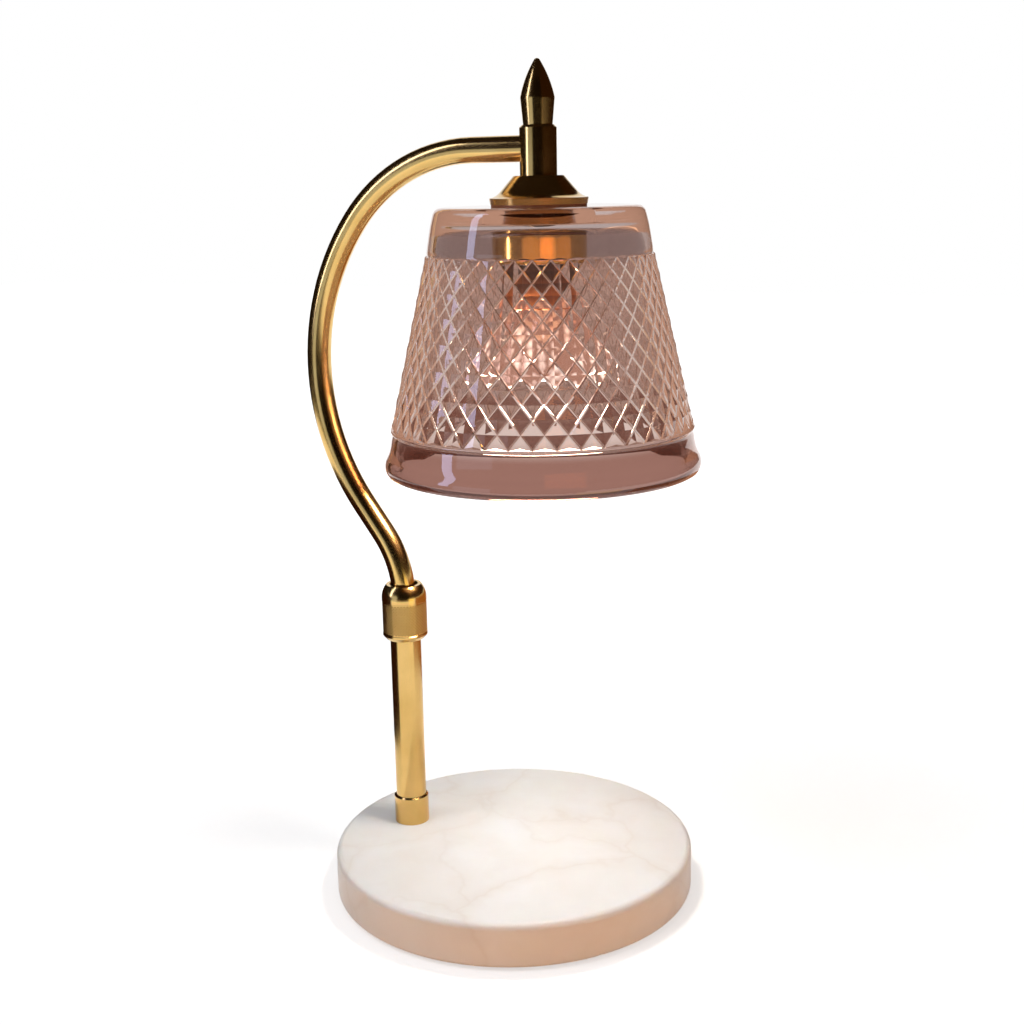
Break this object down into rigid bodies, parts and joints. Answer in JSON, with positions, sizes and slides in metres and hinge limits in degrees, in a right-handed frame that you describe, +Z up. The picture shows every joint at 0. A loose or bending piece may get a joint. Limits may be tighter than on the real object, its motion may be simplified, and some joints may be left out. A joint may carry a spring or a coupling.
{
  "type": "candle warmer lamp",
  "caption": "Table lamp that warms a candle from above: round marble base, brass post, bent arm that slides and swivels, pressed-glass shade.",
  "frame": {"origin": "middle of the underside of the base, on the surface it stands on", "axes": "+Z up; +X from the post towards the lamp head, in the plane of the arm"},
  "size_m": [0.1685, 0.15, 0.336],
  "materials": {
    "brass": "satin lacquered brass",
    "zinc_plated_steel": "zinc plated",
    "white_marble": "honed white marble with faint warm veins",
    "foam_pad": "closed-cell foam sheet",
    "grommet_plastic": "moulded",
    "lead_sheath": "soft extruded sheath",
    "core_insulation": "extruded insulation",
    "nylon": "moulded nylon",
    "silicone": "translucent silicone",
    "white_ceramic": "unglazed steatite",
    "smoky_glass": "pressed, smoky pink-brown, clear",
    "mirror_coat": "thin reflective coat on glass",
    "clear_glass": "clear"
  },
  "bodies": {
    "base": {"marble_base": "white_marble", "base_pad": "foam_pad", "cord_grommet": "grommet_plastic", "base_lead": "lead_sheath", "base_washer": "zinc_plated_steel", "base_lock_washer": "zinc_plated_steel", "base_nut": "zinc_plated_steel", "post_nipple": "brass", "foot_ferrule": "brass", "post_tube": "brass", "collet_sleeve": "brass", "collet": "nylon"},
    "slide_guide": {"slide_bush": "nylon"},
    "arm": {"arm_tube": "brass", "arm_lead": "lead_sheath", "arm_end_ring": "brass", "head_tube": "brass", "head_plug": "brass", "finial": "brass", "head_nipple": "brass", "cap": "brass", "cap_nut": "zinc_plated_steel", "holder_spacer": "brass", "cap_gasket": "silicone", "holder_shell": "brass", "holder_bracket": "zinc_plated_steel", "holder_lock_washer": "zinc_plated_steel", "holder_nut": "zinc_plated_steel", "socket_insert": "white_ceramic", "socket_contacts": "brass", "socket_screws": "zinc_plated_steel", "lead_cores": "core_insulation"},
    "thrust": {"thrust_washer": "zinc_plated_steel"},
    "collar": {"clamp_collar": "brass"},
    "shade": {"glass_shade": "smoky_glass", "ring_gasket": "silicone"},
    "ring": {"shade_ring": "brass"},
    "bulb": {"bulb_base": "white_ceramic", "bulb_pins": "zinc_plated_steel", "bulb_reflector": "mirror_coat", "bulb_lens": "clear_glass", "bulb_capsule": "clear_glass", "bulb_filament": "zinc_plated_steel"}
  },
  "joints": [
    {"name": "arm_height", "type": "slide", "parent": "base", "child": "slide_guide", "axis": [0, 0, 1], "range_m": [0, 0.05]},
    {"name": "arm_swivel", "type": "hinge", "parent": "slide_guide", "child": "arm", "pos_m": [-0.049, 0, 0.039], "axis": [0, 0, 1], "range_deg": [-175, 175]},
    {"name": "collar_rise", "type": "slide", "parent": "base", "child": "thrust", "axis": [0, 0, 1], "range_m": [0, 0.0015]},
    {"name": "collar_turn", "type": "hinge", "parent": "thrust", "child": "collar", "pos_m": [-0.049, 0, 0.114], "axis": [0, 0, 1], "range_deg": [0, 540]},
    {"name": "shade_drop", "type": "slide", "parent": "arm", "child": "shade", "axis": [0, 0, -1], "range_m": [0, 0.006]},
    {"name": "ring_turn", "type": "hinge", "parent": "shade", "child": "ring", "pos_m": [0.016, 0, 0.269], "axis": [0, 0, -1], "range_deg": [0, 1440]},
    {"name": "bulb_twist", "type": "hinge", "parent": "arm", "child": "bulb", "pos_m": [0.016, 0, 0.262], "axis": [0, 0, 1], "range_deg": [0, 40]}
  ],
  "couplings": [
    {"joint": "collar_turn", "follows": "collar_rise", "rad_per_m": 6283.2},
    {"joint": "ring_turn", "follows": "shade_drop", "rad_per_m": 4188.8}
  ]
}
